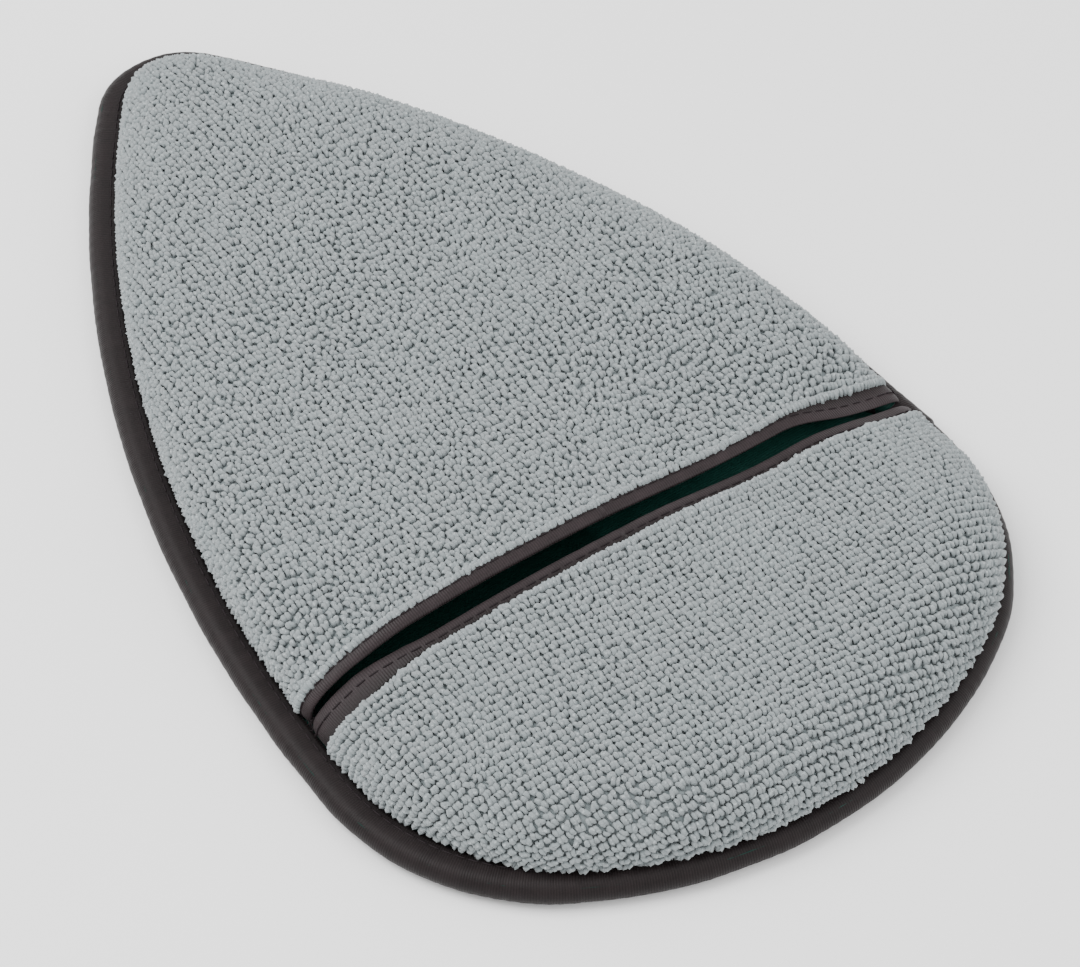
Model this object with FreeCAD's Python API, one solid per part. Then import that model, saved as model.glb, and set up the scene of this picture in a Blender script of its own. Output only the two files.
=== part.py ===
# A teardrop wash mitt, as separate cloth, foam, tape and thread pieces.
#
# The mitt lies flat. A stack of pile cloth, foam and smooth lining makes its washing pad. Two pile cloth
# panels, each with its own lining, lie over the pad and leave a slot between them where a hand goes in.
# Folded tape binds the mitt all round, and binds the edge of each panel along the slot.
# Every layer follows one outline of tangent arcs, so an inset of it is the same arcs with smaller radii.
#
# Units are millimetres. X is across the mitt, Y runs from heel to tip, and Z is up. The origin is at the
# middle of the length and width, on the surface that the mitt lies on.

import FreeCAD, Part
import math
import os

V = FreeCAD.Vector
UP = V(0, 0, 1)
REACH = 1000.0  # farther than any piece reaches
SAME_PLACE = 1e-6

# Outline, measured to the outside of the tape.
BODY_LENGTH = 254.0
BODY_WIDTH = 157.0
HEEL_RADIUS = 101.5  # the flat-looking end behind the slot
CORNER_RADIUS = 54.0
SIDE_RADIUS = 296.0
TIP_RADIUS = 19.5

# Washing pad.
SOLE_THICKNESS = 3.6
FOAM_THICKNESS = 5.0
PAD_LINING_THICKNESS = 0.6
SEAM_LIFT = 1.0  # the pad's underside rises by this into the tape
SEAM_SOLE_THICKNESS = 2.3  # layers squeezed flat inside the tape
SEAM_FOAM_THICKNESS = 1.7

# Folded tape round the mitt.
TAPE_THICKNESS = 0.6
TAPE_COVER = 6.5  # how far each side of the fold reaches in

# Panels over the pad.
PILE_THICKNESS = 3.4
PANEL_LINING_THICKNESS = 0.8
TOE_CROWN_HEIGHT = 20.5
HEEL_CROWN_HEIGHT = 19.2
TIP_FLAT_RADIUS = 1.5  # least radius left to the crown at the tip, inside the rounded shoulder
LEAST_WALL = 1.0  # least straight side left under the rounded shoulder
PANEL_CLEARANCE = 0.4  # between a panel's foot and the tape
REST_CLEARANCE = 0.3  # between a panel's foot and the pad

# Slot between the panels, and the folded tape on each side of it.
SLOT_CENTRE_Y = -52.7
SLOT_GAP = 4.6
LIP_COVER = 3.6  # how far the slot tape reaches onto a panel
LIP_SINK = 0.4  # the slot tape lies this far below the top of the pile

# Sewing thread, drawn as the flat line that a row of stitches makes.
THREAD_WIDTH = 0.5
THREAD_HEIGHT = 0.3
EDGE_STITCH_INSET = 5.0
LIP_STITCH_INSET = 2.4

# Overlocking thread at the left end of the slot, where both slot tapes end.
OVERLOCK_LENGTH = 4.0
OVERLOCK_HEIGHT = 1.2
OVERLOCK_ROUNDING = 0.4
OVERLOCK_CLEARANCE = 0.5  # to the lip on each side

# Heights and insets that follow from the sizes above.
seam_sole_top = SEAM_LIFT + SEAM_SOLE_THICKNESS
seam_foam_top = seam_sole_top + SEAM_FOAM_THICKNESS
seam_top = seam_foam_top + PAD_LINING_THICKNESS
fold_radius = (seam_top - SEAM_LIFT) / 2 + TAPE_THICKNESS
fold_centre = (seam_top + SEAM_LIFT) / 2
pad_foam_top = SOLE_THICKNESS + FOAM_THICKNESS
pad_top = pad_foam_top + PAD_LINING_THICKNESS
foot_inset = TAPE_COVER + PANEL_CLEARANCE
foot_height = seam_top + REST_CLEARANCE
panel_thickness = PILE_THICKNESS + PANEL_LINING_THICKNESS
inner_foot = foot_inset + panel_thickness + TAPE_THICKNESS + THREAD_HEIGHT
# A panel turns from its side to its crown on the largest radius that the tip and the side leave room for.
tip_room = TIP_RADIUS - TIP_FLAT_RADIUS - foot_inset
side_room = min(TOE_CROWN_HEIGHT, HEEL_CROWN_HEIGHT) - LEAST_WALL - foot_height
shoulder = min(tip_room, side_room)
flat_inset = foot_inset + shoulder
slope_start = inner_foot + REST_CLEARANCE
toe_edge = SLOT_CENTRE_Y + SLOT_GAP / 2
heel_edge = SLOT_CENTRE_Y - SLOT_GAP / 2


def outline_arcs():
    """The outline as (centre, radius, start, end) arcs, anticlockwise from the left end of the heel."""
    heel = V(0, HEEL_RADIUS - BODY_LENGTH / 2, 0)
    across = BODY_WIDTH / 2 - CORNER_RADIUS
    back = math.sqrt((HEEL_RADIUS - CORNER_RADIUS) ** 2 - across**2)
    corner = V(across, heel.y - back, 0)
    tip = V(0, BODY_LENGTH / 2 - TIP_RADIUS, 0)
    # The side arc's centre is as far from the corner's and the tip's as inside tangency needs.
    to_tip = tip - corner
    near, far = SIDE_RADIUS - CORNER_RADIUS, SIDE_RADIUS - TIP_RADIUS
    along = (near**2 - far**2 + to_tip.Length**2) / (2 * to_tip.Length)
    off = math.sqrt(near**2 - along**2)
    ahead = V(to_tip).normalize()
    side = corner + ahead * along + V(-ahead.y, ahead.x, 0) * off

    def heading(a, b):
        return math.degrees(math.atan2(b.y - a.y, b.x - a.x))

    joins = heading(heel, corner), heading(side, corner), heading(side, tip)
    right = [
        (corner, CORNER_RADIUS, joins[0], joins[1]),
        (side, SIDE_RADIUS, joins[1], joins[2]),
    ]
    left = [(V(-c.x, c.y, 0), r, 180 - end, 180 - start) for c, r, start, end in reversed(right)]
    return [
        (heel, HEEL_RADIUS, -180 - joins[0], joins[0]),
        *right,
        (tip, TIP_RADIUS, joins[2], 180 - joins[2]),
        *left,
    ]


OUTLINE = outline_arcs()


def one_solid(shape):
    """The shape's single solid, with faces that run on into each other joined."""
    joined = shape.removeSplitter()
    if len(joined.Solids) != 1 or not joined.isValid():
        raise ValueError(f"{len(joined.Solids)} solids where one was meant")
    return joined.Solids[0]


def profile(*steps):
    """A flat face from (inset, height) corners. A step of four numbers is an arc's middle and its end."""
    at = [V(-step[-2], 0, step[-1]) for step in steps]
    edges = []
    for start, step, end in zip(at[-1:] + at[:-1], steps, at):
        if len(step) == 4:
            middle = V(-step[0], 0, step[1])
            edges.append(Part.Arc(start, middle, end).toShape())
        elif start.distanceToPoint(end) > SAME_PLACE:
            edges.append(Part.LineSegment(start, end).toShape())
    return Part.Face(Part.Wire(edges))


def round_the_outline(face):
    """The separate stretches that a profile sweeps out, one for each arc of the outline."""
    stretches = []
    for centre, radius, start, end in OUTLINE:
        placed = face.copy()
        placed.translate(V(radius, 0, 0))
        placed.rotate(V(0, 0, 0), UP, start)
        placed.translate(centre)
        stretches.append(placed.revolve(centre, UP, end - start))
    return stretches


def ring(face):
    """A closed ring with this profile."""
    first, *others = round_the_outline(face)
    return one_solid(first.fuse(others))


def plate(inset, low, high):
    """A flat plate of the outline's shape, taken in by an inset."""
    edges = []
    for centre, radius, start, end in OUTLINE:
        circle = Part.Circle(centre + UP * low, UP, radius - inset)
        edges.append(Part.Arc(circle, math.radians(start), math.radians(end)).toShape())
    return Part.Face(Part.Wire(edges)).extrude(UP * (high - low))


def sheet(face, inset, low, high):
    """A layer that covers the whole outline: a profile round its edge and a plate inside that."""
    return one_solid(plate(inset, low, high).fuse(round_the_outline(face)))


def fold_point(height):
    """Where the inside of the round fold is at a height, as (inset, height)."""
    inner = fold_radius - TAPE_THICKNESS
    return fold_radius - math.sqrt(max(inner**2 - (height - fold_centre) ** 2, 0)), height


def fold_arc(low, high):
    """The step that follows the inside of the fold from one height to another."""
    return *fold_point((low + high) / 2), *fold_point(high)


def strip(low_y, high_y):
    """Everything between two planes across the mitt."""
    box = Part.makeBox(2 * REACH, high_y - low_y, 2 * REACH)
    box.translate(V(-REACH, low_y, -REACH))
    return box


# Washing pad -------------------------------------------------------------------------------------


def sole_pile_cloth():
    """Pile cloth under the mitt. It lies flat on the ground, and rises at its edge into the tape."""
    face = profile(
        fold_point(SEAM_LIFT),
        (TAPE_COVER + TAPE_THICKNESS, SEAM_LIFT),
        (TAPE_COVER + TAPE_THICKNESS + SEAM_LIFT, 0),
        (flat_inset, 0),
        (flat_inset, SOLE_THICKNESS),
        (slope_start, SOLE_THICKNESS),
        (foot_inset, seam_sole_top),
        fold_point(seam_sole_top),
        fold_arc(seam_sole_top, SEAM_LIFT),
    )
    return sheet(face, flat_inset, 0, SOLE_THICKNESS)


def foam_core():
    """Foam that fills the pad. It is squeezed thin where the tape holds it."""
    face = profile(
        fold_point(seam_sole_top),
        (foot_inset, seam_sole_top),
        (slope_start, SOLE_THICKNESS),
        (flat_inset, SOLE_THICKNESS),
        (flat_inset, pad_foam_top),
        (slope_start, seam_foam_top),
        fold_point(seam_foam_top),
        fold_arc(seam_foam_top, seam_sole_top),
    )
    return sheet(face, flat_inset, SOLE_THICKNESS, pad_foam_top)


def pad_lining():
    """Smooth lining over the foam: the floor of both pockets."""
    face = profile(
        fold_point(seam_foam_top),
        (slope_start, seam_foam_top),
        (flat_inset, pad_foam_top),
        (flat_inset, pad_top),
        (slope_start, seam_top),
        fold_point(seam_top),
        fold_arc(seam_top, seam_foam_top),
    )
    return sheet(face, flat_inset, pad_foam_top, pad_top)


def edge_binding():
    """Tape folded over the pad's edge, all round the mitt."""
    inner = fold_radius - TAPE_THICKNESS
    face = profile(
        (TAPE_COVER, fold_centre - fold_radius),
        (TAPE_COVER, fold_centre - inner),
        (fold_radius, fold_centre - inner),
        (TAPE_THICKNESS, fold_centre, fold_radius, fold_centre + inner),
        (TAPE_COVER, fold_centre + inner),
        (TAPE_COVER, fold_centre + fold_radius),
        (fold_radius, fold_centre + fold_radius),
        (0, fold_centre, fold_radius, fold_centre - fold_radius),
    )
    return ring(face)


def edge_thread(low):
    """A row of stitches round the tape, at the height where it starts."""
    near, far = EDGE_STITCH_INSET - THREAD_WIDTH / 2, EDGE_STITCH_INSET + THREAD_WIDTH / 2
    high = low + THREAD_HEIGHT
    return ring(profile((near, low), (far, low), (far, high), (near, high)))


def half_width(y):
    """Half the mitt's width at a place along its length, between the heel and tip arcs."""
    for centre, radius, start, end in OUTLINE[1:3]:
        low, high = (centre.y + radius * math.sin(math.radians(angle)) for angle in (start, end))
        if low <= y <= high:
            return centre.x + math.sqrt(radius**2 - (y - centre.y) ** 2)
    raise ValueError(f"the outline has no side at {y}")


def slot_end_overlock():
    """A patch of overlocking thread on the pad, between the two lips at the slot's left end."""
    width = SLOT_GAP - 2 * OVERLOCK_CLEARANCE
    patch = Part.makeBox(OVERLOCK_LENGTH, width, OVERLOCK_HEIGHT)
    upper = [edge for edge in patch.Edges if edge.BoundBox.ZMin > OVERLOCK_HEIGHT / 2]
    patch = patch.makeFillet(OVERLOCK_ROUNDING, upper)
    patch.translate(V(foot_inset - half_width(SLOT_CENTRE_Y), SLOT_CENTRE_Y - width / 2, seam_top))
    return patch


# Panels ------------------------------------------------------------------------------------------


def dome(crown, outer, inner):
    """Part of a panel's arched wall, from one depth below its surface to another."""
    centre = flat_inset, crown - shoulder
    slant = math.sqrt(0.5)

    def half_turn(depth):
        reach = (shoulder - depth) * slant
        return centre[0] - reach, centre[1] + reach

    face = profile(
        (foot_inset + outer, foot_height),
        (foot_inset + outer, centre[1]),
        (*half_turn(outer), flat_inset, crown - outer),
        (flat_inset, crown - inner),
        (*half_turn(inner), foot_inset + inner, centre[1]),
        (foot_inset + inner, foot_height),
    )
    return sheet(face, flat_inset, crown - inner, crown - outer)


class Panel:
    """One of the two panels. Its pieces are cut from domes, at planes counted in from its slot edge."""

    def __init__(self, crown, edge, inwards):
        self.crown = crown
        self.edge = edge
        self.inwards = inwards  # 1 where the panel runs to the tip, -1 to the heel

    def zone(self, start, end):
        """Everything between two distances in from the slot edge."""
        places = sorted(self.edge + self.inwards * distance for distance in (start, end))
        return strip(*places)

    def layer(self, outer, inner, start, end=REACH):
        """The dome between two depths, and between two distances in from the slot edge."""
        return dome(self.crown, outer, inner).common(self.zone(start, end))

    def pile_cloth(self):
        """The pile layer, squeezed thinner where the slot tape holds it."""
        full = self.layer(0, PILE_THICKNESS, LIP_COVER)
        squeezed = self.layer(LIP_SINK + TAPE_THICKNESS, PILE_THICKNESS, TAPE_THICKNESS, LIP_COVER)
        return one_solid(full.fuse(squeezed))

    def lining(self):
        """Smooth lining under the pile cloth: the roof of the pocket."""
        return one_solid(self.layer(PILE_THICKNESS, panel_thickness, TAPE_THICKNESS))

    def lip_binding(self):
        """Tape folded over the panel's slot edge."""
        block = self.layer(LIP_SINK, panel_thickness + TAPE_THICKNESS, 0, LIP_COVER)
        core = self.layer(LIP_SINK + TAPE_THICKNESS, panel_thickness, TAPE_THICKNESS)
        return one_solid(block.cut(core))

    def lip_thread(self, outer):
        """A row of stitches along the slot tape, at a depth below the panel's surface."""
        start, end = LIP_STITCH_INSET - THREAD_WIDTH / 2, LIP_STITCH_INSET + THREAD_WIDTH / 2
        return one_solid(self.layer(outer, outer + THREAD_HEIGHT, start, end))


def panel_pieces(name, panel):
    """The named pieces of one panel."""
    return {
        f"{name}_pile_cloth": panel.pile_cloth(),
        f"{name}_panel_lining": panel.lining(),
        f"{name}_lip_binding": panel.lip_binding(),
        f"{name}_lip_needle_thread": panel.lip_thread(LIP_SINK - THREAD_HEIGHT),
        f"{name}_lip_bobbin_thread": panel.lip_thread(panel_thickness + TAPE_THICKNESS),
    }


def pieces():
    """Every piece of the mitt by name."""
    tape_low = fold_centre - fold_radius
    tape_high = fold_centre + fold_radius
    return {
        "sole_pile_cloth": sole_pile_cloth(),
        "foam_core": foam_core(),
        "pad_lining": pad_lining(),
        "edge_binding": edge_binding(),
        "edge_needle_thread": edge_thread(tape_high),
        "edge_bobbin_thread": edge_thread(tape_low - THREAD_HEIGHT),
        "slot_end_overlock": slot_end_overlock(),
        **panel_pieces("toe", Panel(TOE_CROWN_HEIGHT, toe_edge, 1)),
        **panel_pieces("heel", Panel(HEEL_CROWN_HEIGHT, heel_edge, -1)),
    }


os.makedirs("parts", exist_ok=True)
for node, shape in pieces().items():
    shape.exportStep(f"parts/{node}.step")
    box = shape.optimalBoundingBox(False)
    print(f"{node}: volume {shape.Volume:.0f}, height {box.ZMin:.2f} to {box.ZMax:.2f}")
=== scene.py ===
# %% [markdown]
# # A wash mitt, from cloth, tape and thread
# The mitt is a teardrop of grey looped pile cloth with dark tape folded round its edge. A slot across the
# top lets a hand in, and both sides of the slot are bound with the same tape. The design comes first, as a
# frame of plain solids with two lifting panels. Each cell here covers part of that frame with what is
# really seen. The frame says where everything is, so nothing has to be fitted to it afterwards.

# %% Load the frame
import math

import bpy
import numpy as np
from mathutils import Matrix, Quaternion, Vector


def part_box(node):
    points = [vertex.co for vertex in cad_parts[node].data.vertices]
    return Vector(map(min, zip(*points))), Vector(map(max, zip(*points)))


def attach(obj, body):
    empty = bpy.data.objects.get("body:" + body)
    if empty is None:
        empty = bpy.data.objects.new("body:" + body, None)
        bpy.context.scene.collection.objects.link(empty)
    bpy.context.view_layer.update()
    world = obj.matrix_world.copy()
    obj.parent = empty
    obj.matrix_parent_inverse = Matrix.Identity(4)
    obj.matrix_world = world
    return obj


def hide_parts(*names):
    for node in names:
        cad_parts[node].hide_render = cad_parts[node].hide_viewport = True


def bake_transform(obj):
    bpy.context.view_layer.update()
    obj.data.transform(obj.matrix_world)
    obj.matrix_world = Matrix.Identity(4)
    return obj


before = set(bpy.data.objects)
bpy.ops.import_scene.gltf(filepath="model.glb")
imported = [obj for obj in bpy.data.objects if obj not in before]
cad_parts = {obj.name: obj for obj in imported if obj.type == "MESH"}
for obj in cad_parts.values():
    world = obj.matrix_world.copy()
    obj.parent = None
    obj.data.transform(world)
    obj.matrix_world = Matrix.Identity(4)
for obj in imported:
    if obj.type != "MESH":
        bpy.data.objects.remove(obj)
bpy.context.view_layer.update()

# %% [markdown]
# ## One outline for everything
# Every layer of the mitt was cut to one outline and then bound together at its edge. That outline is six
# arcs that run smoothly into each other. It could be a curve object, but a formula is handier here: it
# gives a point and a direction anywhere along the edge, and it also says how far in from the edge any
# point lies. Heights, folds and cloth can then all be functions of that one distance.

# %% The outline's arcs
MM = 0.001
HEEL_RADIUS = 101.5 * MM
CORNER_RADIUS = 54 * MM
SIDE_RADIUS = 296 * MM
TIP_RADIUS = 19.5 * MM

tape_low, tape_high = (np.array(corner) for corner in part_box("edge_binding"))
HALF_WIDTH, HALF_LENGTH = tape_high[0], tape_high[1]


def outline_arcs():
    """Rows of centre x, centre y, radius, start and end angle, anticlockwise from the heel's left end.

    The corner arc touches the heel arc from inside, so their centres are as far apart as their radii
    differ. The side arc touches the corner and tip arcs in the same way, which fixes its centre too.
    """
    heel = np.array([0, HEEL_RADIUS - HALF_LENGTH])
    across = HALF_WIDTH - CORNER_RADIUS
    back = math.sqrt((HEEL_RADIUS - CORNER_RADIUS) ** 2 - across**2)
    corner = np.array([across, heel[1] - back])
    tip = np.array([0, HALF_LENGTH - TIP_RADIUS])
    gap = np.linalg.norm(tip - corner)
    near, far = SIDE_RADIUS - CORNER_RADIUS, SIDE_RADIUS - TIP_RADIUS
    along = (near**2 - far**2 + gap**2) / (2 * gap)
    ahead = (tip - corner) / gap
    side = corner + ahead * along + np.array([-ahead[1], ahead[0]]) * math.sqrt(near**2 - along**2)
    joins = [math.atan2(*(b - a)[::-1]) for a, b in ((heel, corner), (side, corner), (side, tip))]
    right = [(*corner, CORNER_RADIUS, joins[0], joins[1]), (*side, SIDE_RADIUS, joins[1], joins[2])]
    left = [(-x, y, r, math.pi - end, math.pi - start) for x, y, r, start, end in reversed(right)]
    first = (*heel, HEEL_RADIUS, -math.pi - joins[0], joins[0])
    last = (*tip, TIP_RADIUS, joins[2], math.pi - joins[2])
    return np.array([first, *right, last, *left])


ARCS = outline_arcs()
ARC_ENDS = np.cumsum(ARCS[:, 2] * (ARCS[:, 4] - ARCS[:, 3]))
OUTLINE_LENGTH = ARC_ENDS[-1]
print("outline length in mm", round(1000 * OUTLINE_LENGTH, 1))

# %% Walking along the outline, and measuring in from it
NEARLY_NOTHING = 1e-9


def along_outline(distance):
    """The point and the outward direction after a distance round the outline, each with x and y last.

    The arc in use is the first whose end lies beyond the distance. What is left over, divided by the
    radius, is the angle along that arc.
    """
    distance = np.asarray(distance) % OUTLINE_LENGTH
    which = np.minimum(np.searchsorted(ARC_ENDS, distance, side="right"), len(ARCS) - 1)
    x, y, radius, start, _ = ARCS[which].T
    passed = distance - np.concatenate([[0], ARC_ENDS])[which]
    angle = start + passed / radius
    outward = np.stack([np.cos(angle), np.sin(angle)], -1)
    return np.stack([x, y], -1) + radius[..., None] * outward, outward


def inset_of(x, y):
    """How far in from the outline each point is, below zero outside, and the outward direction there.

    Seen from an arc's centre, a point within that arc's angles is its radius less its distance away from
    the arc. The nearest arc is the one that gives the least.
    """
    inset = np.full(np.shape(x), np.inf)
    outward = np.zeros((*np.shape(x), 2))
    for centre_x, centre_y, radius, start, end in ARCS:
        step = np.stack([x - centre_x, y - centre_y], -1)
        distance = np.maximum(np.linalg.norm(step, axis=-1), NEARLY_NOTHING)
        turned = (np.arctan2(step[..., 1], step[..., 0]) - start) % (2 * math.pi)
        nearer = (turned <= end - start) & (radius - distance < inset)
        inset = np.where(nearer, radius - distance, inset)
        outward = np.where(nearer[..., None], step / distance[..., None], outward)
    return inset, outward


def half_width(y, inset=0.0):
    """Half the width, at a height y, of the outline taken in by an inset: the arc's x at that y."""
    width = np.zeros(np.shape(y))
    for centre_x, centre_y, radius, start, end in ARCS[:4]:
        reach = radius - inset
        rise = np.clip((y - centre_y) / reach, -1, 1)
        least = math.sin(max(start, -math.pi / 2)) - NEARLY_NOTHING
        most = math.sin(min(end, math.pi / 2)) + NEARLY_NOTHING
        within = (rise >= least) & (rise <= most)
        width = np.where(within, centre_x + reach * np.sqrt(1 - rise**2), width)
    return width


print("half width at the slot in mm", round(1000 * float(half_width(-52.7 * MM)), 1))

# %% [markdown]
# ## Small tools for surfaces
# A piece of cloth is two grids of points, its outer and its inner face, joined along their edges. A repeated
# thing, such as a loop of pile or a stitch, is one small shape copied to many places. Both can be done with
# whole arrays at once, which keeps thousands of loops quick. Blender's own modifiers could copy shapes too,
# but here each copy also leans, turns and changes size in its own way.

# %% Grids, slabs and discs


def ease(t):
    """0 below 0, 1 above 1, and a smooth step between: three t squared less two t cubed."""
    t = np.clip(t, 0, 1)
    return t * t * (3 - 2 * t)


def ripple(x, y, wavelength, seed, waves=7):
    """A smooth uneven field from about -1 to 1: a sum of plane waves in seeded directions."""
    draw = np.random.default_rng(seed)
    total = np.zeros(np.broadcast(x, y).shape)
    for _ in range(waves):
        angle, phase = draw.uniform(0, 2 * math.pi, 2)
        size = 2 * math.pi / (wavelength * draw.uniform(0.7, 1.5))
        total = total + np.sin(size * (x * math.cos(angle) + y * math.sin(angle)) + phase)
    return total / math.sqrt(2 * waves)


def grid_quads(rows, columns, wrap_rows=False, wrap_columns=False):
    """Four corner numbers for every cell of a grid, which may close on itself either way."""
    row, column = np.meshgrid(
        np.arange(rows if wrap_rows else rows - 1),
        np.arange(columns if wrap_columns else columns - 1),
        indexing="ij",
    )
    next_row, next_column = (row + 1) % rows, (column + 1) % columns
    corners = [row * columns + column, next_row * columns + column]
    corners += [next_row * columns + next_column, row * columns + next_column]
    return np.stack(corners, -1).reshape(-1, 4)


def slab(outer, inner, ring=False):
    """Points and faces of the closed solid between two grids. A ring's rows close on themselves."""
    rows, columns = outer.shape[:2]
    count = rows * columns
    face = grid_quads(rows, columns, wrap_rows=ring)
    number = np.arange(count).reshape(rows, columns)
    walls = [number[::-1, 0], number[:, -1]]
    if ring:
        walls = [np.append(wall, wall[0]) for wall in walls]
    else:
        walls += [number[0], number[-1][::-1]]
    faces = [face, face[:, ::-1] + count]
    for wall in walls:
        here, there = wall[:-1], wall[1:]
        faces.append(np.stack([here, there, there + count, here + count], -1))
    points = np.concatenate([outer.reshape(-1, 3), inner.reshape(-1, 3)])
    return points, faces


def disc(rings, first_pole, last_pole):
    """Points and faces of a closed form: rings one after another, with a pole at each end."""
    count, around = rings.shape[:2]
    points = np.concatenate([rings.reshape(-1, 3), [first_pole, last_pole]])
    here = np.arange(around)
    there = (here + 1) % around
    start = np.stack([np.full(around, count * around), here, there], -1)
    last = (count - 1) * around
    end = np.stack([np.full(around, count * around + 1), last + there, last + here], -1)
    return points, [grid_quads(count, around, wrap_columns=True), start, end]


# %% Many copies of one small shape


def unit(v):
    """Vectors scaled to length one."""
    return v / np.maximum(np.linalg.norm(v, axis=-1, keepdims=True), 1e-12)


def frames(up, towards):
    """Three axes for each copy: the third is up, and the first is as near to towards as it can be."""
    up = unit(up)
    first = unit(towards - up * np.sum(towards * up, -1, keepdims=True))
    return np.stack([first, np.cross(up, first), up], -2)


def scatter(shape, places, axes, sizes):
    """Copies of a small shape: each point is its place plus its size along each of its own three axes."""
    points, faces = shape
    spread = np.einsum("pk,nk,nkc->npc", points, sizes, axes) + places[:, None, :]
    shift = np.arange(len(places))[:, None, None] * len(points)
    return spread.reshape(-1, 3), [(face[None] + shift).reshape(-1, face.shape[1]) for face in faces]


def lathe(radii, heights, sides):
    """A small closed form of rings, each with its radius and height. The first and last are poles."""
    angle = (np.arange(sides) * 2 * math.pi / sides)[None]
    ring = np.array(radii[1:-1])[:, None]
    level = np.repeat(np.array(heights[1:-1])[:, None], sides, 1)
    rings = np.stack([ring * np.cos(angle), ring * np.sin(angle), level], -1)
    return disc(rings, [0, 0, heights[0]], [0, 0, heights[-1]])


# %% Putting a surface into Blender


def piece(name, surface, material, uv=None, period=None, values=None):
    """A mesh object from points and faces, with its faces turned outwards.

    The space inside is the sum, over the faces, of the first corner dotted with the cross product of two
    edges. If that is below zero, every face points inwards and is reversed. A map whose first number
    starts again after a period has its last cells carried on past the period instead.
    """
    points, faces = surface
    triples = [face[:, [0, i, i + 1]] for face in faces for i in range(1, face.shape[1] - 1)]
    a, b, c = (points[np.concatenate(triples)[:, i]] for i in range(3))
    if np.sum(a * np.cross(b, c)) < 0:
        faces = [face[:, ::-1] for face in faces]
    mesh = bpy.data.meshes.new(name)
    corners = np.concatenate([face.ravel() for face in faces])
    sizes = np.concatenate([np.full(len(face), face.shape[1]) for face in faces])
    mesh.vertices.add(len(points))
    mesh.vertices.foreach_set("co", points.astype(np.float32).ravel())
    mesh.loops.add(len(corners))
    mesh.loops.foreach_set("vertex_index", corners.astype(np.int32))
    mesh.polygons.add(len(sizes))
    mesh.polygons.foreach_set("loop_start", (np.cumsum(sizes) - sizes).astype(np.int32))
    mesh.polygons.foreach_set("use_smooth", np.ones(len(sizes), bool))
    mesh.update(calc_edges=True)
    if uv is not None:
        layer = mesh.uv_layers.new(name="cloth")
        laid = []
        for face in faces:
            cell = uv[face].copy()
            if period is not None:
                low = cell[..., 0] < cell[..., 0].max(1, keepdims=True) - period / 2
                cell[..., 0] += period * low
            laid.append(cell.reshape(-1, 2))
        layer.uv.foreach_set("vector", np.concatenate(laid).astype(np.float32).ravel())
    for key, value in (values or {}).items():
        mesh.attributes.new(key, "FLOAT", "POINT").data.foreach_set("value", value.astype(np.float32))
    mesh.materials.append(material)
    made = bpy.data.objects.new(name, mesh)
    bpy.context.scene.collection.objects.link(made)
    triangles = sum(len(face) * (face.shape[1] - 2) for face in faces)
    print(f"{name}: {triangles} triangles")
    return made


# %% [markdown]
# ## Shader sums in plain Python
# A material is a network of nodes, and joining nodes one by one hides the idea behind wiring. The small
# class below wraps an output, so that `1 - mask * 0.5` adds the Math nodes for itself. Colours go through
# Mix nodes instead, because a Math node would turn them grey.

# %% A socket that can be used in sums


class Value:
    """A number that varies over a surface. Arithmetic on it adds Math nodes."""

    def __init__(self, sheet, socket):
        self.sheet = sheet
        self.socket = socket

    def math(self, operation, *others):
        inputs = {0: self, **dict(enumerate(others, 1))}
        return self.sheet.add("ShaderNodeMath", {"operation": operation}, inputs)

    def __add__(self, other):
        return self.math("ADD", other)

    def __mul__(self, other):
        return self.math("MULTIPLY", other)

    def __sub__(self, other):
        return self.math("SUBTRACT", other)

    def __rsub__(self, other):
        return self.sheet.add("ShaderNodeMath", {"operation": "SUBTRACT"}, {0: other, 1: self})

    __radd__ = __add__
    __rmul__ = __mul__

    def held(self):
        """Kept between 0 and 1."""
        return self.sheet.add("ShaderNodeMath", {"operation": "ADD", "use_clamp": True}, {0: self, 1: 0.0})


class Finish:
    """A new material, with one way to add any node and a few named patterns."""

    def __init__(self, name):
        self.material = bpy.data.materials.new(name)
        self.material.use_nodes = True
        self.tree = self.material.node_tree
        self.shader = self.tree.nodes["Principled BSDF"]

    def add(self, kind, settings, inputs, output=0):
        """Adds a node: its settings first, then its inputs, each a value or what another node gives."""
        node = self.tree.nodes.new(kind)
        for key, setting in settings.items():
            setattr(node, key, setting)
        for key, given in inputs.items():
            self.give(node.inputs[key], given)
        return Value(self, node.outputs[output])

    def give(self, socket, given):
        if isinstance(given, Value):
            self.tree.links.new(given.socket, socket)
        else:
            socket.default_value = given

    def mix(self, factor, first, second):
        """A colour between two others."""
        inputs = {0: factor, 6: first, 7: second}
        return self.add("ShaderNodeMix", {"data_type": "RGBA"}, inputs, output=2)

    def place(self):
        """Where a point is on the piece, in metres."""
        return self.add("ShaderNodeTexCoord", {}, {}, output="Object")

    def noise(self, size, detail=3.0, where=None):
        """Soft noise whose lumps are about this size across, from 0 to 1."""
        inputs = {"Vector": where or self.place(), "Scale": 1 / size, "Detail": detail}
        return self.add("ShaderNodeTexNoise", {}, inputs, output=0)

    def attribute(self, name):
        return self.add("ShaderNodeAttribute", {"attribute_name": name}, {}, output="Fac")

    def cloth_map(self):
        """Where a point is on the flat cloth, in millimetres along and across."""
        return self.add("ShaderNodeUVMap", {"uv_map": "cloth"}, {})

    def bump(self, height, distance, strength):
        inputs = {"Height": height, "Distance": distance, "Strength": strength}
        self.give(self.shader.inputs["Normal"], self.add("ShaderNodeBump", {}, inputs))

    def set(self, **inputs):
        """Sets the shader's own inputs, named with _ for a space."""
        for key, given in inputs.items():
            self.give(self.shader.inputs[key.replace("_", " ")], given)


print("shader tools ready")

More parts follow.
